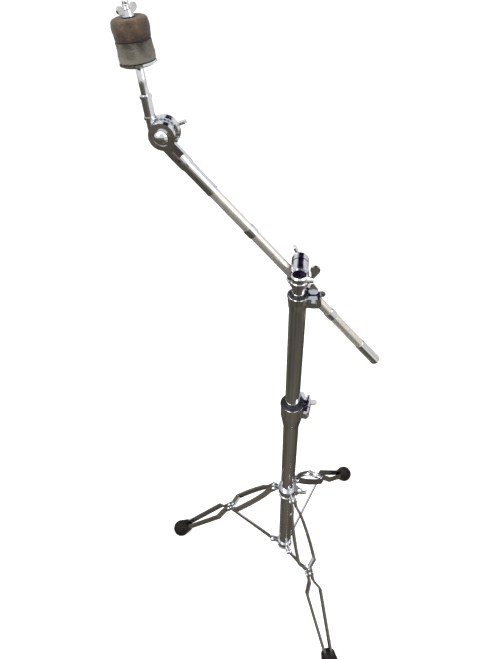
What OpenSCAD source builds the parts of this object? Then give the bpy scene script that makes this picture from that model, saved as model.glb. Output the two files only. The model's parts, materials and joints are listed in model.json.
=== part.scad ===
// Boom cymbal stand: folding double-braced tripod, three telescoping tubes, boom arm and
// a toothed cymbal tilter with its felts. Millimetres, +Z up, origin on the floor under
// the main tube. The boom's plane is parallel to XZ, with the cymbal end towards -X.

/* [Tripod] */
// Radius of the circle that the foot centres stand on
foot_circle_r = 276; // [250:1:320]
// Height of the leg collar's pivots when the tripod is open
collar_z = 315; // [290:1:330]
// Height of the lower stay pivots
bracket_z = 57; // [50:1:75]
// Distance of every leg and stay pivot from the tube's axis
pivot_r = 30; // [28:0.5:34]
// Radius of a rubber foot
foot_r = 20; // [17:0.5:21]
// Azimuth of leg 1; the other two stand 120 degrees apart
leg_azimuth = 175; // [150:1:200]

/* [Tubes] */
// Outer radius of the base tube
base_r = 14.3; // [14:0.1:14.6]
// Outer radius of the middle tube
middle_r = 12.7; // [12.5:0.1:12.8]
// Outer radius of the upper tube
upper_r = 9.525; // [9:0.025:9.6]
// Wall of each tube
tube_wall = 1.2; // [1:0.1:1.2]
// Height of the base clamp's bolt
base_clamp_z = 606; // [560:1:620]
// Height of the upper clamp's bolt
upper_clamp_z = 854; // [840:1:870]

/* [Boom] */
// Height of the boom's tilt axis
tilt_z = 885; // [883:0.5:890]
// How far behind the tubes the boom's axis lies
boom_y = 40; // [40:0.5:44]
// Slope of the boom above the horizontal
boom_elevation = 50; // [40:1:60]
// Distance of the boom's axis from the tilt axis
boom_offset = 19; // [19:0.5:22]
// Radius of the boom tube
boom_r = 7.5; // [7:0.1:7.6]
// Boom length above the tilt axis, to the tilter's socket
boom_upper = 233; // [200:1:260]
// Boom length below the tilt axis
boom_lower = 230; // [200:1:260]

/* [Cymbal holder] */
// How far the cymbal post leans outward from the vertical
post_lean = 3.6; // [0:0.1:10]
// Radius of the felts
felt_r = 21.5; // [18:0.5:22]
// Height of one felt
felt_h = 21; // [15:1:24]

/* [Hidden] */
LEG_PARTS = ["left_brace", "right_brace", "rivets", "foot"];
$fn = 64;

chrome = [0.80, 0.81, 0.83];
cast_chrome = [0.70, 0.71, 0.74];
dark_nylon = [0.10, 0.10, 0.11];
rubber = [0.09, 0.08, 0.07];
felt_brown = [0.34, 0.27, 0.20];
felt_grey = [0.46, 0.45, 0.42];

run = 0.05;                    // radial clearance of a shaft that turns or slides

// Tripod linkage: stay and leg hinge halves are equal, so the collar slides true.
flat_cut = 3.5;                // how much of a foot's ball is flat on the floor
foot_z = foot_r - flat_cut;
leg_run = foot_circle_r - pivot_r;
leg_drop = collar_z - foot_z;
leg_length = norm([leg_run, leg_drop]);
leg_angle = atan2(leg_run, leg_drop);
half_link = (collar_z - bracket_z) / 2 / cos(leg_angle);
brace_t = 4.5;                 // a brace's channel, across the leg
brace_h = 12;                  // and its height
channel_wall = 1.6;
blade_t = 3.4;                 // collar lugs and stays, between the two braces
brace_c = blade_t / 2 + 0.3 + brace_t / 2;
hub_end = 14;                  // straight part of a brace at the collar
bow_x = 138;                   // widest place of the upper bow
bow_w = 17.5;
pinch = [half_link - 16, half_link + 17];
lock_rivet_x = half_link - 10; // clear of the folded stay's end
lower_bow_x = 207;
lower_bow_w = 15.5;
brace_end = leg_length - 12;
pin_r = 3;

// Tube ends
plug_z = 44;
base_top = 590;
middle_bottom = 370;
middle_top = 848;
upper_bottom = 640;
upper_top = 892;

// Boom frame: u runs up the boom from the point nearest the tilt axis
boom_foot = [-boom_offset * sin(boom_elevation), boom_y,
             tilt_z - boom_offset * cos(boom_elevation)];
barrel_u = -22;                // middle of the holder's barrel along the boom
barrel_len = 28;
barrel_r = 13;
tilt_near = 22.6;              // near face of the holder, behind the base's teeth
tilt_far = 53.5;
stud_r = 3.5;
ring_u = [86, -103];           // stop rings on the boom
ring_len = 14;

// Cymbal tilter
pivot_u = 255;
pivot_v = 6.5;
tilter_pivot = boom_foot + [-pivot_u * cos(boom_elevation) + pivot_v * sin(boom_elevation),
                            0, pivot_u * sin(boom_elevation) + pivot_v * cos(boom_elevation)];
disc_lower = [28, 40.2];       // near and far faces of the lower half's disc
disc_upper = [40.8, 52];
disc_lower_r = 16.5;
disc_upper_r = 19;
post_x = -13.8;                 // the post's axis beside the disc's centre
post_y = 44.5;
rod_r = 4;
rod_shank_r = 4.8;             // below the cup washer
cup_z = 77;
felt_gap = 0.3;
lower_felt_z = cup_z + 4.1;
upper_felt_z = lower_felt_z + felt_h + felt_gap;
nut_z = upper_felt_z + felt_h + 0.6;
rod_top = nut_z + 15;
rod_tip = 4;                   // plain tip above the thread
rod_tip_r = 3.3;

// ---- helpers -------------------------------------------------------------------------

module ring(r_out, r_in, h) {
    difference() {
        cylinder(r = r_out, h = h);
        translate([0, 0, -1]) cylinder(r = r_in, h = h + 2);
    }
}

// Local +Z becomes +Y, at height z and starting at y
module along_y(y, z, x = 0) {
    translate([x, y, z]) rotate([-90, 0, 0]) children();
}

// Local +Z becomes +X
module along_x(x, z) {
    translate([x, 0, z]) rotate([0, 90, 0]) children();
}

// Local +Z runs up the boom, at distance u from the boom's foot point
module on_boom(u) {
    translate(boom_foot) rotate([0, boom_elevation - 90, 0]) translate([0, 0, u]) children();
}

// The post's frame: origin at the tilter's pivot, on the plane Y = 0
module on_post() {
    translate([tilter_pivot[0], 0, tilter_pivot[2]]) rotate([0, -post_lean, 0]) children();
}

// Two wings on a hub, for a nut or a bolt: the axis is +Z, the wings spread along X
module wings(span, hub_r, hub_h, thick, lobe) {
    cylinder(r1 = hub_r, r2 = hub_r - 1, h = hub_h);
    rotate([90, 0, 0]) linear_extrude(height = thick, center = true)
        for (side = [-1, 1]) scale([side, 1]) {
            translate([span - lobe, hub_h + 1]) circle(r = lobe);
            polygon([[0, 1.5], [hub_r, 1.5], [span - lobe * 0.4, hub_h + 1 - lobe * 0.92],
                     [span - lobe * 1.6, hub_h + 1 + lobe * 0.8], [hub_r - 2, hub_h - 1],
                     [0, hub_h - 1]]);
        }
}

module wing_nut(span, hub_r, hub_h, thick, lobe, bore) {
    difference() {
        wings(span, hub_r, hub_h, thick, lobe);
        translate([0, 0, -1]) cylinder(r = bore, h = hub_h + 2 * lobe + 4);
    }
}

// Radial teeth on a disc's face, as cuts a little deeper than the face
module tooth_cuts(r, z, count = 24) {
    for (i = [0:count - 1]) rotate([0, 0, i * 360 / count])
        translate([r * 0.55, -0.7, z]) cube([r, 1.4, 2]);
}

// ---- tubes and clamps ----------------------------------------------------------------

module base_tube() {
    color(chrome) translate([0, 0, plug_z])
        ring(base_r, base_r - tube_wall, base_top - plug_z);
}

module base_tube_plug() {
    color(dark_nylon) difference() {
        union() {
            translate([0, 0, plug_z - 3]) cylinder(r = base_r, h = 3);
            translate([0, 0, plug_z]) cylinder(r = base_r - tube_wall, h = 16);
        }
        translate([0, 0, plug_z]) cylinder(r = base_r - tube_wall - 3, h = 17);
    }
}

module middle_tube() {
    color(chrome) translate([0, 0, middle_bottom])
        ring(middle_r, middle_r - tube_wall, middle_top - middle_bottom);
}

module upper_tube() {
    color(chrome) translate([0, 0, upper_bottom])
        ring(upper_r, upper_r - tube_wall, upper_top - upper_bottom);
}

// A split clamp casting at a tube's top: its ear points along +X and its bolt along Y
module clamp_casting(tube_r, bush_r, out_r, low, top, tube_end, ear, ear_low, bolt) {
    ear_x = ear[0];
    ear_y = ear[1];
    bolt_x = bolt[0];
    bolt_z = bolt[1];
    difference() {
        union() {
            translate([0, 0, low]) cylinder(r1 = tube_r + 1, r2 = out_r, h = (top - low) * 0.5);
            translate([0, 0, (low + top) / 2]) cylinder(r = out_r, h = (top - low) / 2 - 2.5);
            translate([0, 0, top - 3]) cylinder(r = out_r + 0.8, h = 3);
            translate([0, -ear_y, ear_low]) cube([ear_x - 4, 2 * ear_y, top - 1 - ear_low]);
            translate([ear_x - 4, 0, 0]) intersection() {
                translate([-1, -ear_y, ear_low]) cube([5, 2 * ear_y, top - 1 - ear_low]);
                along_y(-ear_y - 1, (ear_low + top - 1) / 2, -10)
                    cylinder(r = 14, h = 2 * ear_y + 2);
            }
        }
        translate([0, 0, low - 1]) cylinder(r = tube_r, h = tube_end - low + 1);
        translate([0, 0, tube_end - 1]) cylinder(r = bush_r, h = top - tube_end + 2);
        translate([0, -1.1, tube_end + 0.5]) cube([ear_x + 5, 2.2, top]);
        along_y(-ear_y - 1, bolt_z, bolt_x) cylinder(r = pin_r + 0.2, h = 2 * ear_y + 2);
    }
}

// A flanged split bush inside a clamp
module clamp_bush(r_in, r_out, flange_r, low, top) {
    difference() {
        union() {
            translate([0, 0, low]) cylinder(r = r_out, h = top - low);
            translate([0, 0, top]) cylinder(r = flange_r, h = 1.6);
        }
        translate([0, 0, low - 1]) cylinder(r = r_in, h = top - low + 4);
        translate([0, -0.6, low - 1]) cube([flange_r + 1, 1.2, top - low + 4]);
    }
}

// Hex-headed clamp bolt along +Y from its head, with the threaded end past the ear
module clamp_bolt(ear_y, reach, bolt_x, bolt_z) {
    along_y(-ear_y - 4.2, bolt_z, bolt_x) cylinder(r = 5.6, h = 4.2, $fn = 6);
    along_y(-ear_y - 4.2, bolt_z, bolt_x) cylinder(r = pin_r, h = 2 * ear_y + 4.2 + reach);
}

base_ear = [32, 12.2];
base_bolt_x = 25;
base_clamp_turn = -8;
base_clamp_low = 556;
base_clamp_top = 616;
base_bush_r = 16.2;

module base_clamp() {
    color(cast_chrome) rotate([0, 0, base_clamp_turn])
        clamp_casting(base_r, base_bush_r + run, 20, base_clamp_low, base_clamp_top, base_top,
                      base_ear, 593, [base_bolt_x, base_clamp_z]);
}

module base_clamp_bush() {
    color(dark_nylon) clamp_bush(middle_r + run, base_bush_r, 18.8, base_top + 1, base_clamp_top + 0.3);
}

module base_clamp_bolt() {
    color(chrome) rotate([0, 0, base_clamp_turn])
        clamp_bolt(base_ear[1], 18, base_bolt_x, base_clamp_z);
}

module base_clamp_wing_nut() {
    color(cast_chrome) rotate([0, 0, base_clamp_turn])
        along_y(base_ear[1] + 0.3, base_clamp_z, base_bolt_x) rotate([0, 0, 35])
            wing_nut(19, 6, 11, 3, 5, pin_r + run);
}

upper_ear = [33, 9.2];
upper_bolt_x = 21.5;
upper_clamp_low = 841;
upper_clamp_top = 863;
upper_bush_r = 12.1;

module upper_clamp() {
    color(cast_chrome)
        clamp_casting(middle_r, upper_bush_r, 15, upper_clamp_low, upper_clamp_top, middle_top,
                      upper_ear, 846, [upper_bolt_x, upper_clamp_z]);
}

module upper_clamp_bush() {
    color(dark_nylon)
        clamp_bush(upper_r + run, upper_bush_r, 13, middle_top + 0.2, upper_clamp_top);
}

module upper_clamp_bolt() {
    color(chrome) clamp_bolt(upper_ear[1], 13, upper_bolt_x, upper_clamp_z);
}

module upper_clamp_wing_nut() {
    color(cast_chrome)
        along_y(upper_ear[1] + 0.3, upper_clamp_z, upper_bolt_x) rotate([0, 0, 20])
            wing_nut(19, 5.5, 10, 2.8, 4.5, pin_r + run);
}

// ---- boom tilter ---------------------------------------------------------------------

swivel_z = 889;
base_low = 880;
base_high = 898;

module tilter_base() {
    color(cast_chrome) difference() {
        union() {
            translate([0, 0, base_low]) cylinder(r = 11.8, h = base_high - base_low - 2);
            translate([0, 0, base_high - 2]) cylinder(r1 = 11.8, r2 = 9.8, h = 2);
            translate([0, 0, base_low + 2]) cylinder(r = 13, h = 6);
            translate([-8, 0, tilt_z - 5]) cube([16, 16, 14]);
            along_y(13.5, tilt_z) cylinder(r = 13.5, h = 8.8);
            along_x(8, swivel_z) cylinder(r = 6, h = 6.5);
        }
        translate([0, 0, base_low - 1]) cylinder(r = upper_r + run, h = 14);
        along_x(5, swivel_z) cylinder(r = pin_r + run, h = 12);
        along_y(12, tilt_z) cylinder(r = stud_r, h = 12);
        along_y(0, tilt_z) tooth_cuts(13.5, 21.1);
    }
}

module swivel_wing_bolt() {
    color(chrome) {
        along_x(upper_r + 0.3, swivel_z) cylinder(r = pin_r, h = 7);
        along_x(15, swivel_z) rotate([0, 0, 5]) wings(26, 5.5, 5, 3.4, 6.8);
    }
}

module tilt_stud() {
    color(chrome) along_y(12, tilt_z) cylinder(r = stud_r, h = tilt_far + 13 - 12);
}

// Split block: one bore for the boom's bush, one for the stud, and the slit between them
module boom_holder() {
    color(cast_chrome) difference() {
        union() {
            along_y(tilt_near, tilt_z) cylinder(r = 12.5, h = tilt_far - tilt_near);
            on_boom(barrel_u - barrel_len / 2) cylinder(r = barrel_r, h = barrel_len);
            translate([-9, boom_y - barrel_r + 0.5, tilt_z - 26])
                cube([18, 2 * barrel_r - 1, 26]);
        }
        on_boom(barrel_u - barrel_len) cylinder(r = 10 + run, h = 2.6 * barrel_len);
        along_y(tilt_near - 1, tilt_z) cylinder(r = stud_r + run, h = tilt_far - tilt_near + 2);
        translate([-40, boom_y - 1, tilt_z - 22]) cube([80, 2, 45]);
        along_y(tilt_near - 1, tilt_z) tooth_cuts(12.5, 0);
    }
}

module boom_bush() {
    color(dark_nylon) on_boom(barrel_u - barrel_len / 2 - 1)
        ring(10, boom_r + run, barrel_len + 2);
}

module boom_washer() {
    color(chrome) along_y(tilt_far + 0.1, tilt_z) ring(8.5, stud_r + run, 1.4);
}

module boom_wing_nut() {
    color(cast_chrome) along_y(tilt_far + 1.7, tilt_z) rotate([0, 0, 55])
        wing_nut(19, 6.5, 8, 3.2, 5, stud_r + run);
}

// ---- boom ----------------------------------------------------------------------------

module boom_tube() {
    color(chrome) on_boom(-boom_lower) ring(boom_r, boom_r - tube_wall, boom_lower + boom_upper);
}

module boom_sleeve() {
    color(chrome) on_boom(162) {
        ring(8.3, boom_r, socket_u - 162);
        ring(8.7, boom_r, 2.5);
    }
}

module boom_stop_rings() {
    color(chrome) for (u = ring_u) on_boom(u - ring_len / 2) {
        ring(8.2, boom_r, ring_len);
        translate([0, 0, 1]) ring(8.5, boom_r, ring_len - 2);
    }
}

module boom_end_cap() {
    color(chrome) on_boom(-boom_lower - 2.5) difference() {
        union() {
            cylinder(r1 = 7.4, r2 = 8.4, h = 1.5);
            translate([0, 0, 1.5]) cylinder(r = 8.4, h = 48);
            translate([0, 0, 49.5]) cylinder(r1 = 8.4, r2 = 7.7, h = 1);
        }
        translate([0, 0, 2.5]) cylinder(r = boom_r, h = 60);
    }
}

// ---- cymbal tilter -------------------------------------------------------------------

socket_u = 207;

module cymbal_tilter_lower() {
    color(cast_chrome) difference() {
        union() {
            on_boom(socket_u) cylinder(r1 = 8.9, r2 = 9.6, h = 6);
            on_boom(socket_u + 6) cylinder(r = 9.6, h = boom_upper - socket_u - 5);
            along_y(disc_lower[0], tilter_pivot[2], tilter_pivot[0])
                cylinder(r = disc_lower_r, h = disc_lower[1] - disc_lower[0]);
            on_boom(boom_upper - 10)
                translate([-6, disc_lower[0] + 3 - boom_y, 0])
                    cube([18, disc_lower[1] - disc_lower[0] - 5.2, 20]);
        }
        on_boom(socket_u - 1) cylinder(r = boom_r, h = boom_upper - socket_u + 1);
        along_y(disc_lower[0] - 1, tilter_pivot[2], tilter_pivot[0]) {
            cylinder(r = stud_r + 0.2, h = 20);
            cylinder(r = 11, h = 2.5);
        }
        along_y(disc_upper[0] - 0.2, tilter_pivot[2], tilter_pivot[0])
            cylinder(r = disc_upper_r + 0.6, h = 20);
        along_y(disc_lower[1] - 1.2, tilter_pivot[2], tilter_pivot[0])
            tooth_cuts(disc_lower_r, 0);
        on_boom(socket_u + 13) rotate([90, 0, 0]) cylinder(r = 2, h = 12);
    }
}

module tilter_set_screw() {
    color(dark_nylon) on_boom(socket_u + 13) rotate([90, 0, 0]) translate([0, 0, boom_r])
        cylinder(r = 2, h = 1.4);
}

module tilter_bolt() {
    color(chrome) {
        along_y(disc_lower[0] - 3, tilter_pivot[2], tilter_pivot[0]) cylinder(r = 8.4, h = 4.5);
        along_y(disc_lower[0] - 3, tilter_pivot[2], tilter_pivot[0]) intersection() {
            translate([0, 0, 6]) sphere(r = 10.3);
            translate([0, 0, -6]) cylinder(r = 8.4, h = 6);
        }
        along_y(disc_lower[0] - 1, tilter_pivot[2], tilter_pivot[0])
            cylinder(r = stud_r, h = disc_upper[1] - disc_lower[0] + 15);
    }
}

module cymbal_tilter_upper() {
    color(cast_chrome) on_post() difference() {
        union() {
            along_y(disc_upper[0], 0) cylinder(r = disc_upper_r, h = disc_upper[1] - disc_upper[0]);
            translate([post_x, post_y, 0]) {
                cylinder(r = 6, h = 19);
                translate([0, 0, 17]) cylinder(r = 7.6, h = 3);
                translate([0, 0, 20]) cylinder(r = 6.3, h = 21);
                translate([0, 0, 41]) cylinder(r = 7.4, h = 3);
            }
        }
        translate([post_x, post_y, 22]) cylinder(r = rod_shank_r, h = 30);
        along_y(disc_upper[0] - 1, 0) cylinder(r = stud_r + run, h = 20);
        along_y(disc_upper[0] - 0.8, 0) tooth_cuts(disc_upper_r, 0);
        along_y(disc_lower[0] - 8, 0)
            cylinder(r = disc_lower_r + 0.5, h = disc_upper[0] - disc_lower[0] + 8);
    }
}

module tilter_wing_nut() {
    color(cast_chrome) along_y(disc_upper[1] + 0.3, tilter_pivot[2], tilter_pivot[0])
        rotate([0, 0, -16]) wing_nut(26, 5.5, 8, 3, 4.5, stud_r + run);
}

// ---- cymbal seat ---------------------------------------------------------------------

module on_rod(z) {
    on_post() translate([post_x, post_y, z]) children();
}

module cymbal_rod() {
    color(chrome) {
        on_rod(22) cylinder(r = rod_shank_r, h = cup_z - 22);
        on_rod(cup_z) cylinder(r = rod_r, h = rod_top - rod_tip - cup_z);
        on_rod(rod_top - rod_tip) cylinder(r = rod_tip_r, h = rod_tip);
    }
}

module cup_washer() {
    color(chrome) on_rod(cup_z) difference() {
        union() {
            cylinder(r1 = 18, r2 = 21, h = 1.6);
            translate([0, 0, 1.6]) cylinder(r = 21, h = 2.4);
        }
        translate([0, 0, 2]) cylinder(r = 19.6, h = 4);
        translate([0, 0, -1]) cylinder(r = rod_r, h = 6);
    }
}

module rod_sleeve() {
    color(dark_nylon) on_rod(cup_z + 2) ring(5.5, rod_r, upper_felt_z + felt_h - cup_z - 2);
}

module felt(z) {
    on_rod(z) difference() {
        union() {
            cylinder(r1 = felt_r - 2, r2 = felt_r, h = 3);
            translate([0, 0, 3]) cylinder(r = felt_r, h = felt_h - 6);
            translate([0, 0, felt_h - 3]) cylinder(r1 = felt_r, r2 = felt_r - 2.5, h = 3);
        }
        translate([0, 0, -1]) cylinder(r = 5.8, h = felt_h + 2);
    }
}

module lower_felt() {
    color(felt_grey) felt(lower_felt_z);
}

module upper_felt() {
    color(felt_brown) felt(upper_felt_z);
}

module cymbal_wing_nut() {
    color(chrome) on_rod(nut_z) rotate([0, 0, 62])
        wing_nut(14, 6.5, 6, 3.4, 3.8, rod_r + run);
}

// ---- tripod --------------------------------------------------------------------------

function azimuth(k) = leg_azimuth + 120 * (k - 1);

// Along a leg from its collar pivot: +X down the leg, +Y across it, +Z out and up
module on_leg(k) {
    rotate([0, 0, azimuth(k)]) translate([pivot_r, 0, collar_z])
        rotate([0, 90 - leg_angle, 0]) children();
}

// A brace's centre line, across the leg against distance down it
bow_steps = 7;
brace_line = concat(
    [[-8, brace_c]],
    [for (i = [0:bow_steps]) let (s = i / bow_steps)
        [hub_end + (bow_x - hub_end) * s, brace_c + (bow_w - brace_c) * pow(sin(90 * s), 0.6)]],
    [[pinch[0], brace_c], [pinch[1], brace_c], [lower_bow_x, lower_bow_w],
     [leg_length - 34, 7], [brace_end, 5.5]]
);

// The line's unit direction into and out of point i, and its mitred side step
function step(p, i) = let (d = p[i + 1] - p[i]) d / norm(d);
function side(p, i, w) = let (
    a = step(p, max(i - 1, 0)), b = step(p, min(i, len(p) - 2)), m = a + b,
    n = [-m[1], m[0]] / norm(m)
) p[i] + n * w / max(norm(m) / 2, 0.5);
function strip(p, w0, w1) = concat(
    [for (i = [0:len(p) - 1]) side(p, i, w0)],
    [for (i = [len(p) - 1:-1:0]) side(p, i, w1)]
);

module brace(k, hand) {
    color(chrome) on_leg(k) mirror([0, hand, 0]) difference() {
        linear_extrude(height = brace_h, center = true)
            polygon(strip(brace_line, -brace_t / 2, brace_t / 2));
        linear_extrude(height = brace_h - 2 * channel_wall, center = true)
            polygon(strip(brace_line, -brace_t / 2 - 1, brace_t / 2 - channel_wall));
        for (x = [0, lock_rivet_x, half_link]) translate([x, 0, 0])
            rotate([-90, 0, 0]) cylinder(r = pin_r, h = 20);
    }
}

module rivet(x, r_head) {
    half = brace_c + brace_t / 2;
    translate([x, -half - 1.6, 0]) rotate([-90, 0, 0]) cylinder(r = pin_r, h = 2 * half + 3.2);
    for (s = [-1, 1]) translate([x, s * (half + 0.9), 0]) rotate([90, 0, 0])
        cylinder(r = r_head, h = 1.8, center = true);
}

module rivets(k) {
    color(chrome) on_leg(k) {
        rivet(0, 5);
        rivet(half_link, 5);
        rivet(lock_rivet_x, 4.2);
    }
}

module foot(k) {
    color(rubber) difference() {
        on_leg(k) difference() {
            union() {
                translate([leg_length, 0, 0]) sphere(r = foot_r);
                translate([leg_length - 16, 0, 0]) rotate([0, 90, 0])
                    cylinder(r1 = 17.6, r2 = 19.2, h = 12);
                translate([leg_length - 32, 0, 0]) rotate([0, 90, 0])
                    cylinder(r1 = 15, r2 = 17.6, h = 16);
            }
            for (hand = [0, 1]) mirror([0, hand, 0])
                linear_extrude(height = brace_h, center = true)
                    polygon(strip(brace_line, -brace_t / 2, brace_t / 2));
        }
        translate([0, 0, -20]) cube([800, 800, 40], center = true);
    }
}

module stay(k) {
    color(chrome) rotate([0, 0, azimuth(k)]) translate([pivot_r, 0, bracket_z])
        rotate([0, leg_angle, 0]) difference() {
            union() {
                translate([-4.5, -blade_t / 2, 0]) cube([9, blade_t, half_link]);
                for (z = [0, half_link]) translate([0, -blade_t / 2, z]) rotate([-90, 0, 0])
                    cylinder(r = 5.5, h = blade_t);
            }
            for (z = [0, half_link]) translate([0, -5, z]) rotate([-90, 0, 0])
                cylinder(r = pin_r + run, h = 10);
        }
}

module leg_collar() {
    color(cast_chrome) difference() {
        union() {
            translate([0, 0, collar_z - 12]) cylinder(r = 18, h = 24);
            translate([0, 0, collar_z - 14]) cylinder(r = 19.2, h = 4);
            translate([0, 0, collar_z + 9]) cylinder(r = 19.2, h = 4);
            for (k = [1:3]) rotate([0, 0, azimuth(k)]) {
                translate([15, -blade_t / 2, collar_z - 6]) cube([pivot_r - 15, blade_t, 12]);
                translate([pivot_r, -blade_t / 2, collar_z]) rotate([-90, 0, 0])
                    cylinder(r = 6, h = blade_t);
            }
            rotate([0, 0, wing_azimuth]) translate([12, -7, collar_z - 9]) cube([11, 14, 18]);
            rotate([0, 0, wing_azimuth]) along_x(15, collar_z) cylinder(r = 7.5, h = 11.5);
        }
        translate([0, 0, collar_z - 20]) cylinder(r = base_r + run, h = 40);
        for (k = [1:3]) rotate([0, 0, azimuth(k)])
            translate([pivot_r, -5, collar_z]) rotate([-90, 0, 0])
                cylinder(r = pin_r + run, h = 10);
        rotate([0, 0, wing_azimuth]) along_x(10, collar_z) cylinder(r = pin_r + 1 + run, h = 20);
    }
}

wing_azimuth = leg_azimuth + 180;

module leg_collar_wing_bolt() {
    color(chrome) rotate([0, 0, wing_azimuth]) {
        along_x(base_r + 0.4, collar_z) cylinder(r = pin_r + 1, h = 14);
        along_x(27, collar_z) rotate([0, 0, 20]) wings(24, 6.5, 7, 3.4, 6.5);
    }
}

module stay_bracket() {
    prong = 2.6;
    color(cast_chrome) difference() {
        union() {
            translate([0, 0, bracket_z - 10]) cylinder(r = 17.2, h = 20);
            translate([0, 0, bracket_z - 12]) cylinder(r = 18.2, h = 3);
            for (k = [1:3]) rotate([0, 0, azimuth(k)]) for (s = [-1, 1])
                translate([0, s * (blade_t / 2 + 0.3 + prong / 2), 0]) {
                    translate([12, -prong / 2, bracket_z - 5.5])
                        cube([pivot_r - 12, prong, 11]);
                    translate([pivot_r, 0, bracket_z]) rotate([90, 0, 0])
                        cylinder(r = 5.5, h = prong, center = true);
                }
        }
        translate([0, 0, bracket_z - 20]) cylinder(r = base_r, h = 40);
        for (k = [1:3]) rotate([0, 0, azimuth(k)]) {
            translate([18.5, -blade_t / 2 - 0.3, bracket_z - 15])
                cube([20, blade_t + 0.6, 30]);
            translate([pivot_r, -20, bracket_z]) rotate([-90, 0, 0])
                cylinder(r = pin_r, h = 40);
        }
    }
}

module bracket_pins() {
    reach = blade_t / 2 + 0.3 + 2.6;
    color(chrome) for (k = [1:3]) rotate([0, 0, azimuth(k)]) translate([pivot_r, 0, bracket_z]) {
        rotate([90, 0, 0]) cylinder(r = pin_r, h = 2 * reach + 2.4, center = true);
        for (s = [-1, 1]) translate([0, s * (reach + 0.75), 0]) rotate([90, 0, 0])
            cylinder(r = 4.4, h = 1.5, center = true);
    }
}

// ---- assembly ------------------------------------------------------------------------

base_tube();
base_tube_plug();
stay_bracket();
bracket_pins();
base_clamp();
base_clamp_bolt();
base_clamp_wing_nut();
base_clamp_bush();
middle_tube();
upper_clamp();
upper_clamp_bush();
upper_clamp_bolt();
upper_clamp_wing_nut();
upper_tube();
tilter_base();
swivel_wing_bolt();
tilt_stud();
boom_holder();
boom_bush();
boom_washer();
boom_wing_nut();
boom_tube();
boom_sleeve();
boom_stop_rings();
boom_end_cap();
cymbal_tilter_lower();
tilter_set_screw();
tilter_bolt();
cymbal_tilter_upper();
tilter_wing_nut();
cymbal_rod();
cup_washer();
rod_sleeve();
lower_felt();
upper_felt();
cymbal_wing_nut();
leg_collar();
leg_collar_wing_bolt();
for (k = [1:3]) {
    brace(k, 0);
    brace(k, 1);
    rivets(k);
    foot(k);
    stay(k);
}
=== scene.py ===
import bpy
import bmesh
import json
import math
import random
from mathutils import Matrix, Vector, noise


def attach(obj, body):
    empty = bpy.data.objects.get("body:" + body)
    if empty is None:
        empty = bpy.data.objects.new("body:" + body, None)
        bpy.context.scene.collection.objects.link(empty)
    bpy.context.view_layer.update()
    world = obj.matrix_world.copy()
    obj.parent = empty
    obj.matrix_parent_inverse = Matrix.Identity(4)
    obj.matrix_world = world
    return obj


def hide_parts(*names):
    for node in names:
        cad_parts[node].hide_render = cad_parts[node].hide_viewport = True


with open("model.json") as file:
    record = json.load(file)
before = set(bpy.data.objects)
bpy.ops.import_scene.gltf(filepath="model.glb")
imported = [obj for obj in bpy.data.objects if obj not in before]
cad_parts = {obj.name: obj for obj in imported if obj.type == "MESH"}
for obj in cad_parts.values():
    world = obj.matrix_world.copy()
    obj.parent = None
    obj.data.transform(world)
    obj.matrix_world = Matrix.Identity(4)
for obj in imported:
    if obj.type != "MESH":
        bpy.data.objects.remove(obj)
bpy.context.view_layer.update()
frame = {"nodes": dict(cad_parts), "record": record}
nodes = frame["nodes"]
record = frame["record"]
joints = {j["name"]: j for j in record["behaviour"]["joints"]}
slot_of = {s["node"]: s["material_slot"] for s in record["subparts"]}


# ---- camera --------------------------------------------------------------------------

CAMERA_PLACE = (0, -0.548, 1.317)
CAMERA_LENS = 27.3
SENSOR_WIDTH = 36
# Degrees down from level, degrees clockwise from +Y and degrees of roll
CAMERA_ANGLES = (43.7, -7.8, -2.2)


def add_camera():
    down, turn, roll = (math.radians(a) for a in CAMERA_ANGLES)
    forward = Vector((math.sin(turn) * math.cos(down), math.cos(turn) * math.cos(down), -math.sin(down)))
    right = forward.cross(Vector((0, 0, 1))).normalized()
    up = right.cross(forward)
    x_axis = right * math.cos(roll) + up * math.sin(roll)
    y_axis = up * math.cos(roll) - right * math.sin(roll)
    data = bpy.data.cameras.new("camera")
    data.sensor_width = SENSOR_WIDTH
    data.lens = CAMERA_LENS
    data.clip_start = 0.01
    camera = bpy.data.objects.new("camera", data)
    turned = Matrix((x_axis, y_axis, -forward)).transposed().to_4x4()
    camera.matrix_world = Matrix.Translation(CAMERA_PLACE) @ turned
    bpy.context.collection.objects.link(camera)
    bpy.context.scene.camera = camera


add_camera()


# ---- the cymbal post -----------------------------------------------------------------

UP_POST = Vector(joints["lower_felt_lift"]["axis"]).normalized()
NUT_POINT = Vector(joints["cymbal_wing_nut_turn"]["pos_m"])


def post_span(node):
    """How far along the post's axis a node reaches from the nut, low and high."""
    heights = [(v.co - NUT_POINT).dot(UP_POST) for v in nodes[node].data.vertices]
    return min(heights), max(heights)


# Height of the two felts' common face, along the post from the origin
FELT_JOIN = NUT_POINT.dot(UP_POST) + post_span("lower_felt")[1]


# ---- materials -----------------------------------------------------------------------

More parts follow.
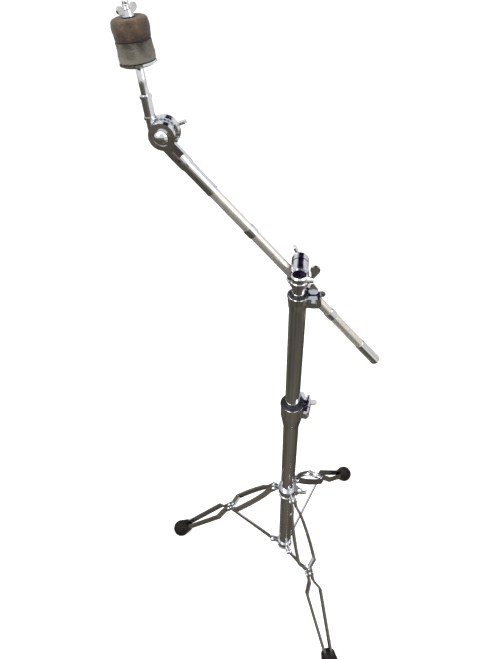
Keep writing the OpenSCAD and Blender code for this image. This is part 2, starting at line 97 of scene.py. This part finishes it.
class Shader:
    """A Principled material with helpers for its procedural inputs."""

    def __init__(self, name, color, metallic=0.0, rough=0.5):
        self.material = bpy.data.materials.new(name)
        self.material.use_nodes = True
        self.tree = self.material.node_tree
        self.main = self.tree.nodes["Principled BSDF"]
        self.set("Base Color", (*color, 1))
        self.set("Metallic", metallic)
        self.set("Roughness", rough)
        self.coords = self.tree.nodes.new("ShaderNodeTexCoord")
        self.normal = None

    def set(self, socket, value):
        self.main.inputs[socket].default_value = value

    def link(self, a, b):
        self.tree.links.new(a, b)

    def noise(self, scale, detail=3.0, stretch=(1, 1, 1)):
        mapping = self.tree.nodes.new("ShaderNodeMapping")
        mapping.inputs["Scale"].default_value = stretch
        self.link(self.coords.outputs["Object"], mapping.inputs["Vector"])
        tex = self.tree.nodes.new("ShaderNodeTexNoise")
        tex.inputs["Scale"].default_value = scale
        tex.inputs["Detail"].default_value = detail
        self.link(mapping.outputs["Vector"], tex.inputs["Vector"])
        return tex.outputs["Fac"]

    def ramp(self, value, stops):
        node = self.tree.nodes.new("ShaderNodeValToRGB")
        ramp = node.color_ramp
        while len(ramp.elements) < len(stops):
            ramp.elements.new(0.5)
        for element, (place, color) in zip(ramp.elements, stops):
            element.position = place
            element.color = (*color, 1)
        self.link(value, node.inputs["Fac"])
        return node.outputs["Color"]

    def math(self, operation, a, b=None):
        node = self.tree.nodes.new("ShaderNodeMath")
        node.operation = operation
        for socket, value in zip(node.inputs, (a, b)):
            if isinstance(value, (int, float)):
                socket.default_value = value
            elif value is not None:
                self.link(value, socket)
        return node.outputs["Value"]

    def dot(self, direction):
        """Object position along a direction."""
        node = self.tree.nodes.new("ShaderNodeVectorMath")
        node.operation = "DOT_PRODUCT"
        node.inputs[1].default_value = direction
        self.link(self.coords.outputs["Object"], node.inputs[0])
        return node.outputs["Value"]

    def vary_color(self, value, stops):
        self.link(self.ramp(value, stops), self.main.inputs["Base Color"])

    def vary_rough(self, value, low, high, start=0.35, end=0.65):
        node = self.tree.nodes.new("ShaderNodeMapRange")
        node.inputs["From Min"].default_value = start
        node.inputs["From Max"].default_value = end
        node.inputs["To Min"].default_value = low
        node.inputs["To Max"].default_value = high
        self.link(value, node.inputs["Value"])
        self.link(node.outputs["Result"], self.main.inputs["Roughness"])

    def bump(self, value, strength, distance):
        """Adds a layer of relief on top of those already there."""
        node = self.tree.nodes.new("ShaderNodeBump")
        node.inputs["Strength"].default_value = strength
        node.inputs["Distance"].default_value = distance
        self.link(value, node.inputs["Height"])
        if self.normal:
            self.link(self.normal, node.inputs["Normal"])
        self.normal = node.outputs["Normal"]
        self.link(self.normal, self.main.inputs["Normal"])

    def glow(self, strength, color=None):
        """Gives off light of its own, white unless a colour output is passed in."""
        if color:
            self.link(color, self.main.inputs["Emission Color"])
        else:
            self.set("Emission Color", (1, 1, 1, 1))
        self.set("Emission Strength", strength)


def chrome_plate():
    m = Shader("chrome_plate", (0.79, 0.80, 0.82), 1.0, 0.06)
    m.vary_color(m.noise(9, 4), [(0.3, (0.72, 0.73, 0.75)), (0.7, (0.82, 0.83, 0.85))])
    m.vary_rough(m.noise(55, 5), 0.03, 0.13)
    m.bump(m.noise(900, 2, (1, 1, 0.25)), 0.03, 0.0002)
    return m.material


def satin_chrome_painted_pale():
    """The boom tube's plate, softer than the other tubes', with a warmer, paler tint that paints in the
    pale beige reflections along its underside, so that it stays pale all round.
    """
    m = Shader("satin_chrome_painted_pale", (0.74, 0.69, 0.63), 0.85, 0.26)
    m.vary_color(m.noise(12, 4), [(0.3, (0.70, 0.65, 0.59)), (0.7, (0.78, 0.74, 0.69))])
    m.vary_rough(m.noise(70, 5), 0.22, 0.34)
    m.bump(m.noise(1100, 2), 0.05, 0.0002)
    return m.material


def cast_chrome():
    m = Shader("cast_chrome", (0.76, 0.77, 0.80), 1.0, 0.1)
    m.vary_color(m.noise(30, 4), [(0.3, (0.68, 0.68, 0.71)), (0.7, (0.80, 0.81, 0.84))])
    m.vary_rough(m.noise(90, 5), 0.06, 0.2)
    m.bump(m.noise(220, 3), 0.10, 0.0004)
    m.bump(m.noise(1400, 2), 0.05, 0.0001)
    return m.material


def black_steel():
    m = Shader("black_steel", (0.05, 0.05, 0.055), 0.8, 0.4)
    m.vary_color(m.noise(350, 4), [(0.3, (0.035, 0.035, 0.04)), (0.7, (0.07, 0.068, 0.07))])
    m.vary_rough(m.noise(300, 4), 0.3, 0.5)
    m.bump(m.noise(900), 0.1, 0.0002)
    return m.material


def foot_rubber():
    m = Shader("foot_rubber", (0.010, 0.007, 0.005), 0.0, 0.55)
    m.set("Specular IOR Level", 0.28)
    m.vary_color(m.noise(60, 6), [(0.35, (0.004, 0.0028, 0.002)), (0.7, (0.014, 0.0095, 0.0065))])
    m.vary_rough(m.noise(160, 5), 0.42, 0.68)
    m.bump(m.noise(1800, 3), 0.25, 0.0003)
    m.bump(m.noise(120, 4), 0.08, 0.0008)
    return m.material


def black_nylon():
    m = Shader("black_nylon", (0.012, 0.012, 0.013), 0.0, 0.42)
    m.set("Specular IOR Level", 0.25)
    m.vary_color(m.noise(260, 4), [(0.3, (0.008, 0.008, 0.009)), (0.7, (0.020, 0.020, 0.021))])
    m.vary_rough(m.noise(400, 4), 0.38, 0.56)
    m.bump(m.noise(1500, 2), 0.12, 0.0002)
    return m.material


def felt(name, dark, light, join_shade_at, join_shade_over):
    """Pressed wool with random fibre and blotch tones, plus painted shade: dark at one height along the
    post, near where the felts meet, and lighter with distance from it.
    """
    fade_share, fibre_share, blotch_share = 0.42, 0.55, 0.7
    m = Shader(name, light, 0.0, 0.95)
    fibres = m.noise(420, 8, (1, 1, 3))
    blotches = m.noise(95, 3)
    # Painted shade: darkest at the join between the two felts, lightening over the given distance
    along = m.math("SUBTRACT", m.dot(UP_POST), join_shade_at)
    fade = m.math("DIVIDE", m.math("ABSOLUTE", along), join_shade_over)
    shade = m.math("ADD", m.math("MULTIPLY", fade, fade_share), m.math("MULTIPLY", fibres, fibre_share))
    shade = m.math("ADD", shade, m.math("MULTIPLY", m.math("SUBTRACT", blotches, 0.5), blotch_share))
    m.vary_color(shade, [(0.22, dark), (0.72, light)])
    m.set("Sheen Weight", 0.12)
    m.set("Sheen Roughness", 0.6)
    m.set("Specular IOR Level", 0.15)
    m.bump(fibres, 0.5, 0.0012)
    m.bump(m.noise(1900, 4), 0.4, 0.0005)
    return m.material


MATERIALS = {
    "chrome_steel": chrome_plate(),
    "cast_chrome": cast_chrome(),
    "black_steel": black_steel(),
    "foot_rubber": foot_rubber(),
    "black_nylon": black_nylon(),
    # Each felt's painted shade is darkest at or near the felts' common face
    "grey_felt": felt("grey_felt", (0.020, 0.015, 0.010), (0.135, 0.122, 0.100), FELT_JOIN + 0.002, 0.019),
    "brown_felt": felt("brown_felt", (0.018, 0.011, 0.007), (0.098, 0.066, 0.042), FELT_JOIN, 0.024),
}
# Nodes that look different from the rest of their slot: the boom tube's paler, warmer chrome is painted
# reflection
OWN_MATERIAL = {"boom_tube": satin_chrome_painted_pale()}


# ---- mesh helpers --------------------------------------------------------------------

def new_object(name, verts, faces, material):
    mesh = bpy.data.meshes.new(name)
    mesh.from_pydata([tuple(v) for v in verts], [], faces)
    mesh.materials.append(material)
    obj = bpy.data.objects.new(name, mesh)
    bpy.context.collection.objects.link(obj)
    return obj


def new_piece(name, verts, faces, node, smooth=True):
    """A visible piece of the stand, with its CAD node's material and slot."""
    obj = new_object(name, verts, faces, MATERIALS[slot_of[node]])
    obj.data.polygons.foreach_set("use_smooth", [smooth] * len(obj.data.polygons))
    return obj


def axis_frame(origin, axis):
    """A frame at the origin with its Z along the axis."""
    z = Vector(axis).normalized()
    x = Vector((1, 0, 0)) if abs(z.x) < 0.9 else Vector((0, 1, 0))
    x = (x - z * x.dot(z)).normalized()
    return Matrix.Translation(origin) @ Matrix((x, z.cross(x), z)).transposed().to_4x4()


def post_frame(height):
    """A frame on the post's axis at a height from the nut, with its Z up the post."""
    return axis_frame(NUT_POINT + UP_POST * height, UP_POST)


def lathe(profile, place, sides=96, closed=True):
    """Vertices and faces of a profile of (radius, height) pairs turned about the place's Z."""
    n = len(profile)
    rows = n if closed else n - 1
    verts, faces = [], []
    for i in range(sides):
        a = 2 * math.pi * i / sides
        verts += [place @ Vector((r * math.cos(a), r * math.sin(a), z)) for r, z in profile]
        here, there = i * n, ((i + 1) % sides) * n
        for j in range(rows):
            k = (j + 1) % n
            faces.append((here + j, there + j, there + k, here + k))
    return verts, faces


def screw(place, length, r_core, r_crest, pitch, steps=28):
    """A threaded rod along the place's Z, whose thread runs out over two turns at each end."""
    rows_a_turn, run_out, flank = 4, 2 * pitch, 1.25
    rows = int(length / pitch * rows_a_turn)
    verts, faces = [], []
    for row in range(rows + 1):
        z = row / rows_a_turn * pitch
        fade = max(0.0, min(1.0, z / run_out, (length - z) / run_out))
        for i in range(steps):
            a = 2 * math.pi * i / steps
            phase = (z / pitch - i / steps) % 1
            depth = abs(phase - 0.5) * 2
            r = r_core + (r_crest - r_core) * max(0.0, 1 - depth * flank) * fade
            verts.append(place @ Vector((r * math.cos(a), r * math.sin(a), z)))
    for row in range(rows):
        low, high = row * steps, (row + 1) * steps
        for i in range(steps):
            k = (i + 1) % steps
            faces.append((low + i, low + k, high + k, high + i))
    faces.append(tuple(reversed(range(steps))))
    faces.append(tuple(rows * steps + i for i in range(steps)))
    return verts, faces


# ---- felts ---------------------------------------------------------------------------

FELT_BORE_R = 0.0059
FELT_SIDES = 180
# Edges longer than this are split before the relief goes on
LONGEST_EDGE = 0.0012
# Rows of the side from one stated radius to the next
ROWS_A_RADIUS = 4
CORNER_STEPS = 6
CORNER_ANGLES = [math.pi / 2 * k / CORNER_STEPS for k in range(CORNER_STEPS + 1)]
# Loose fibres on each felt
FIBRES = 1400


def felt_profile(h, corners, radii):
    """Half of a felt's section: lower corner, barrelled side, upper corner and bore."""
    low, high = corners
    rows = ROWS_A_RADIUS * (len(radii) - 1)
    profile = [(radii[0] - low + low * math.sin(a), low - low * math.cos(a)) for a in CORNER_ANGLES]
    for k in range(1, rows):
        step, part = divmod(k / ROWS_A_RADIUS, 1)
        ease = part * part * (3 - 2 * part)
        r = radii[int(step)] * (1 - ease) + radii[int(step) + 1] * ease
        profile.append((r, low + (h - low - high) * k / rows))
    centre_r, centre_h = radii[-1] - high, h - high
    profile += [(centre_r + high * math.cos(a), centre_h + high * math.sin(a)) for a in CORNER_ANGLES]
    bore, rim, lip = FELT_BORE_R, FELT_BORE_R + 0.004, 0.0008
    return profile + [(rim, h), (bore, h - lip), (bore, lip), (rim, 0)]


def press(obj, seed):
    """Gives a felt its soft swells and its nap, as real relief."""
    swell_scale, swell_height = 70, 0.0006
    nap_scale, nap_height = 900, 0.00018
    sunk = 0.0003
    bm = bmesh.new()
    bm.from_mesh(obj.data)
    long_edges = [e for e in bm.edges if e.calc_length() > LONGEST_EDGE]
    bmesh.ops.subdivide_edges(bm, edges=long_edges, cuts=1, use_grid_fill=True)
    bmesh.ops.recalc_face_normals(bm, faces=bm.faces)
    bm.normal_update()
    shift = Vector((seed * 3.1, seed * 1.7, seed))
    for v in bm.verts:
        swell = noise.fractal(v.co * swell_scale + shift, 1.0, 2.0, 3) * swell_height
        nap = noise.fractal(v.co * nap_scale + shift, 1.0, 2.0, 4) * nap_height
        v.co += v.normal * (swell + nap - sunk)
    bm.to_mesh(obj.data)
    bm.free()


def add_fuzz(node, place, h, r_side, seed):
    """Loose fibres standing a little off the felt's side."""
    root_r = r_side - 0.0004
    end_gap, reach, half_width = 0.002, 0.0016, 0.00005
    rng = random.Random(seed)

    def spread():
        return rng.uniform(-1, 1)

    verts, faces = [], []
    for _ in range(FIBRES):
        a = rng.uniform(0, 2 * math.pi)
        z = rng.uniform(end_gap, h - end_gap)
        out = Vector((math.cos(a), math.sin(a), 0))
        start = Vector((root_r * out.x, root_r * out.y, z))
        lean = out * rng.uniform(0.0004, 0.0011)
        drift = Vector((-out.y * spread(), out.x * spread(), spread())) * reach
        across = Vector((spread(), spread(), spread())).normalized() * half_width
        n = len(verts)
        verts += [place @ (start - across), place @ (start + across), place @ (start + lean + drift)]
        faces.append((n, n + 1, n + 2))
    obj = new_piece(node + "_fuzz", verts, faces, node, smooth=False)
    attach(obj, node)


def add_felt(node, seed, corners, radii):
    """A felt with its lower and upper corner radius and its radius at five heights."""
    low, high = post_span(node)
    place = post_frame(low)
    verts, faces = lathe(felt_profile(high - low, corners, radii), place, FELT_SIDES)
    obj = new_piece(node + "_pressed", verts, faces, node)
    press(obj, seed)
    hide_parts(node)
    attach(obj, node)
    add_fuzz(node, place, high - low, min(radii), seed)


add_felt("lower_felt", 3, (0.0026, 0.0016), (0.0209, 0.0212, 0.0206, 0.0202, 0.0203))
add_felt("upper_felt", 8, (0.0016, 0.0040), (0.0203, 0.0205, 0.0211, 0.0211, 0.0202))


# ---- cymbal rod ----------------------------------------------------------------------

SHANK_R = 0.0048
THREAD_R = 0.0040
THREAD_CORE_R = 0.00345
THREAD_PITCH = 0.00125
TIP_R = 0.0033


def add_rod():
    """The rod: a plain shank up to the cup washer, then a rolled thread with a turned-down tip."""
    edge, lap = 0.0004, 0.0006
    tip_length, tip_root = 0.004, 0.006
    low, high = post_span("cymbal_rod")
    cup_low = post_span("cup_washer")[0]
    shank, rise = cup_low - low, high - cup_low
    shank_profile = [(0.0, 0.0), (SHANK_R - edge, 0.0), (SHANK_R, edge),
                     (SHANK_R, shank - edge), (SHANK_R - edge, shank), (0.0, shank)]
    tip_profile = [(0.0, rise - tip_root), (TIP_R, rise - tip_root), (TIP_R, rise - 0.0006),
                   (TIP_R - 0.0005, rise), (0.0, rise)]
    thread_length = rise - tip_length + lap
    verts, faces = [], []
    for more_verts, more_faces in (
            lathe(shank_profile, post_frame(low), 48, closed=False),
            screw(post_frame(cup_low - lap), thread_length, THREAD_CORE_R, THREAD_R, THREAD_PITCH),
            lathe(tip_profile, post_frame(cup_low), 48, closed=False)):
        faces += [tuple(i + len(verts) for i in f) for f in more_faces]
        verts += more_verts
    rod = new_piece("cymbal_rod_threaded", verts, faces, "cymbal_rod")
    bm = bmesh.new()
    bm.from_mesh(rod.data)
    bmesh.ops.remove_doubles(bm, verts=bm.verts, dist=0.000001)
    bmesh.ops.recalc_face_normals(bm, faces=bm.faces)
    bm.to_mesh(rod.data)
    bm.free()
    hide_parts("cymbal_rod")
    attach(rod, "cymbal_arm")


add_rod()


# ---- finish of the CAD nodes ---------------------------------------------------------

# Width of the rounded edges, by a word in the node's name
ROUNDED = {
    "wing": 0.0011,
    "foot": 0.002,
    "clamp": 0.0006,
    "holder": 0.0008,
    "tilter": 0.0006,
    "brace": 0.0004,
}
ROUNDED_ELSE = 0.0003


def finish_node(name, obj):
    obj.data.materials.clear()
    obj.data.materials.append(OWN_MATERIAL.get(name) or MATERIALS[slot_of[name]])
    for poly in obj.data.polygons:
        poly.use_smooth = True
    bevel = obj.modifiers.new("bevel", "BEVEL")
    bevel.width = next((w for word, w in ROUNDED.items() if word in name), ROUNDED_ELSE)
    bevel.segments = 3
    bevel.limit_method = "ANGLE"
    bevel.angle_limit = math.radians(35)
    bevel.harden_normals = True
    bevel.use_clamp_overlap = True


for name, obj in nodes.items():
    if name in slot_of:
        finish_node(name, obj)


# ---- floor and surroundings ----------------------------------------------------------

GROUND_HALF = 9
DOME_R = 8.8
DOME_STEPS = 12
REFLECTED_WALL_Y = -2.6


def add_stage(name, verts, faces, shader, unseen_by):
    """A piece of the surroundings that the listed kinds of ray pass by."""
    obj = new_object(name, verts, faces, shader.material)
    for ray in unseen_by:
        setattr(obj, "visible_" + ray, False)


def ground(z):
    """Vertices and faces of a level square."""
    g = GROUND_HALF
    return [(-g, -g, z), (g, -g, z), (g, g, z), (-g, g, z)], [(0, 1, 2, 3)]


def add_floor():
    m = Shader("floor", (0.9, 0.9, 0.9), 0.0, 0.75)
    m.vary_color(m.noise(2.0, 3), [(0.3, (0.87, 0.87, 0.87)), (0.7, (0.9, 0.9, 0.9))])
    m.glow(0.45)
    add_stage("floor", *ground(0), m, ["glossy"])


def add_reflected_floor():
    """The ground that the chrome reflects in place of the pale floor: dark olive, paler towards +X."""
    m = Shader("reflected_floor", (0.01, 0.01, 0.01), 0.0, 1.0)
    pale_from, pale_over = 0.75, 2.4
    rise = m.math("DIVIDE", m.math("SUBTRACT", m.dot((1, 0.12, 0)), pale_from), pale_over)
    tone = m.math("ADD", m.math("MULTIPLY", m.noise(1.1, 5), 0.5), m.math("MAXIMUM", rise, 0.0))
    m.glow(0.86, m.ramp(tone, [
        (0.19, (0.045, 0.038, 0.024)),
        (0.25, (0.080, 0.070, 0.047)),
        (0.36, (0.17, 0.15, 0.11)),
        (0.62, (0.62, 0.53, 0.42)),
        (0.9, (0.93, 0.93, 0.94)),
    ]))
    add_stage("reflected_floor", *ground(-0.001), m, ["camera", "shadow", "diffuse"])


def add_reflected_wall():
    """A dark wall in front of the stand, which the camera never sees and the front leg reflects."""
    m = Shader("reflected_wall", (0.01, 0.01, 0.01), 0.0, 1.0)
    m.glow(1.0, m.ramp(m.noise(0.9, 4), [(0.35, (0.07, 0.06, 0.04)), (0.65, (0.20, 0.17, 0.13))]))
    outline = [(-2.4, 0), (2.3, 0), (2.3, 1.05), (1.2, 1.3), (-1.4, 1.2), (-2.4, 1.0)]
    verts = [(x, REFLECTED_WALL_Y, z) for x, z in outline]
    add_stage("reflected_wall", verts, [tuple(range(len(verts)))], m, ["camera", "shadow", "diffuse"])


def add_backdrop():
    """A white dome for the camera alone, so that every view has the same plain background."""
    m = Shader("backdrop", (1, 1, 1), 0.0, 1.0)
    m.vary_color(m.noise(0.4, 2), [(0.3, (0.97, 0.97, 0.97)), (0.7, (1, 1, 1))])
    m.glow(1.0)
    angles = [math.pi / 2 * k / DOME_STEPS for k in range(DOME_STEPS + 1)]
    profile = [(DOME_R * math.cos(a), DOME_R * math.sin(a)) for a in angles]
    verts, faces = lathe(profile, Matrix.Identity(4), 48, closed=False)
    add_stage("backdrop", verts, faces, m, ["glossy", "diffuse", "transmission", "shadow"])


add_floor()
add_reflected_floor()
add_reflected_wall()
add_backdrop()


# ---- lights and sky ------------------------------------------------------------------

SKY_STRENGTH = 0.85
SKY_HORIZON = (0.80, 0.76, 0.70, 1)
SKY_ABOVE = (0.96, 0.97, 1.0, 1)
SKY_DARK = (0.012, 0.005, 0.028, 1)
DARK_TOWARDS = Vector((0.10, 0.72, 0.69)).normalized()


def add_light(name, place, aim, size, power, color=(1, 1, 1)):
    data = bpy.data.lights.new(name, "AREA")
    data.shape = "RECTANGLE"
    data.size, data.size_y = size
    data.energy = power
    data.color = color
    light = bpy.data.objects.new(name, data)
    light.location = place
    light.rotation_euler = (Vector(aim) - Vector(place)).to_track_quat("-Z", "Y").to_euler()
    bpy.context.collection.objects.link(light)


def add_sky():
    """A pale sky with a dark blue-violet part behind the stand, for the level tops of the castings."""
    world = bpy.data.worlds.new("world")
    bpy.context.scene.world = world
    world.use_nodes = True
    add, link = world.node_tree.nodes.new, world.node_tree.links.new
    coords = add("ShaderNodeTexCoord").outputs["Generated"]

    parts = add("ShaderNodeSeparateXYZ")
    ramp = add("ShaderNodeValToRGB")
    horizon, above = ramp.color_ramp.elements
    horizon.position, horizon.color = 0.0, SKY_HORIZON
    above.position, above.color = 0.10, SKY_ABOVE
    link(coords, parts.inputs["Vector"])
    link(parts.outputs["Z"], ramp.inputs["Fac"])

    lobe = add("ShaderNodeVectorMath")
    lobe.operation = "DOT_PRODUCT"
    lobe.inputs[1].default_value = DARK_TOWARDS
    clouds = add("ShaderNodeTexNoise")
    clouds.inputs["Scale"].default_value = 5.0
    edge = add("ShaderNodeMath")
    edge.operation = "MULTIPLY_ADD"
    edge.inputs[1].default_value = 0.22
    mask = add("ShaderNodeMapRange")
    mask.inputs["From Min"].default_value = 1.00
    mask.inputs["From Max"].default_value = 1.04
    link(coords, lobe.inputs[0])
    link(coords, clouds.inputs["Vector"])
    link(clouds.outputs["Fac"], edge.inputs[0])
    link(lobe.outputs["Value"], edge.inputs[2])
    link(edge.outputs["Value"], mask.inputs["Value"])

    # A Mix node's colour sockets have no names of their own: 0 is the factor, 6 and 7 are A and B
    mix = add("ShaderNodeMix")
    mix.data_type = "RGBA"
    mix.inputs[7].default_value = SKY_DARK
    link(mask.outputs["Result"], mix.inputs[0])
    link(ramp.outputs["Color"], mix.inputs[6])
    background = world.node_tree.nodes["Background"]
    link(mix.outputs[2], background.inputs["Color"])
    background.inputs["Strength"].default_value = SKY_STRENGTH


add_light("key", (-1.6, -1.4, 2.8), (0, 0, 0.5), (1.6, 1.6), 46, (1.0, 0.99, 0.97))
add_light("fill", (2.0, -0.8, 2.2), (0, 0, 0.6), (1.4, 1.8), 22, (0.93, 0.96, 1.0))
add_light("top", (0.1, 0.0, 3.2), (0, 0, 0.4), (1.9, 1.9), 34)
add_sky()
bpy.context.scene.view_settings.view_transform = "Standard"
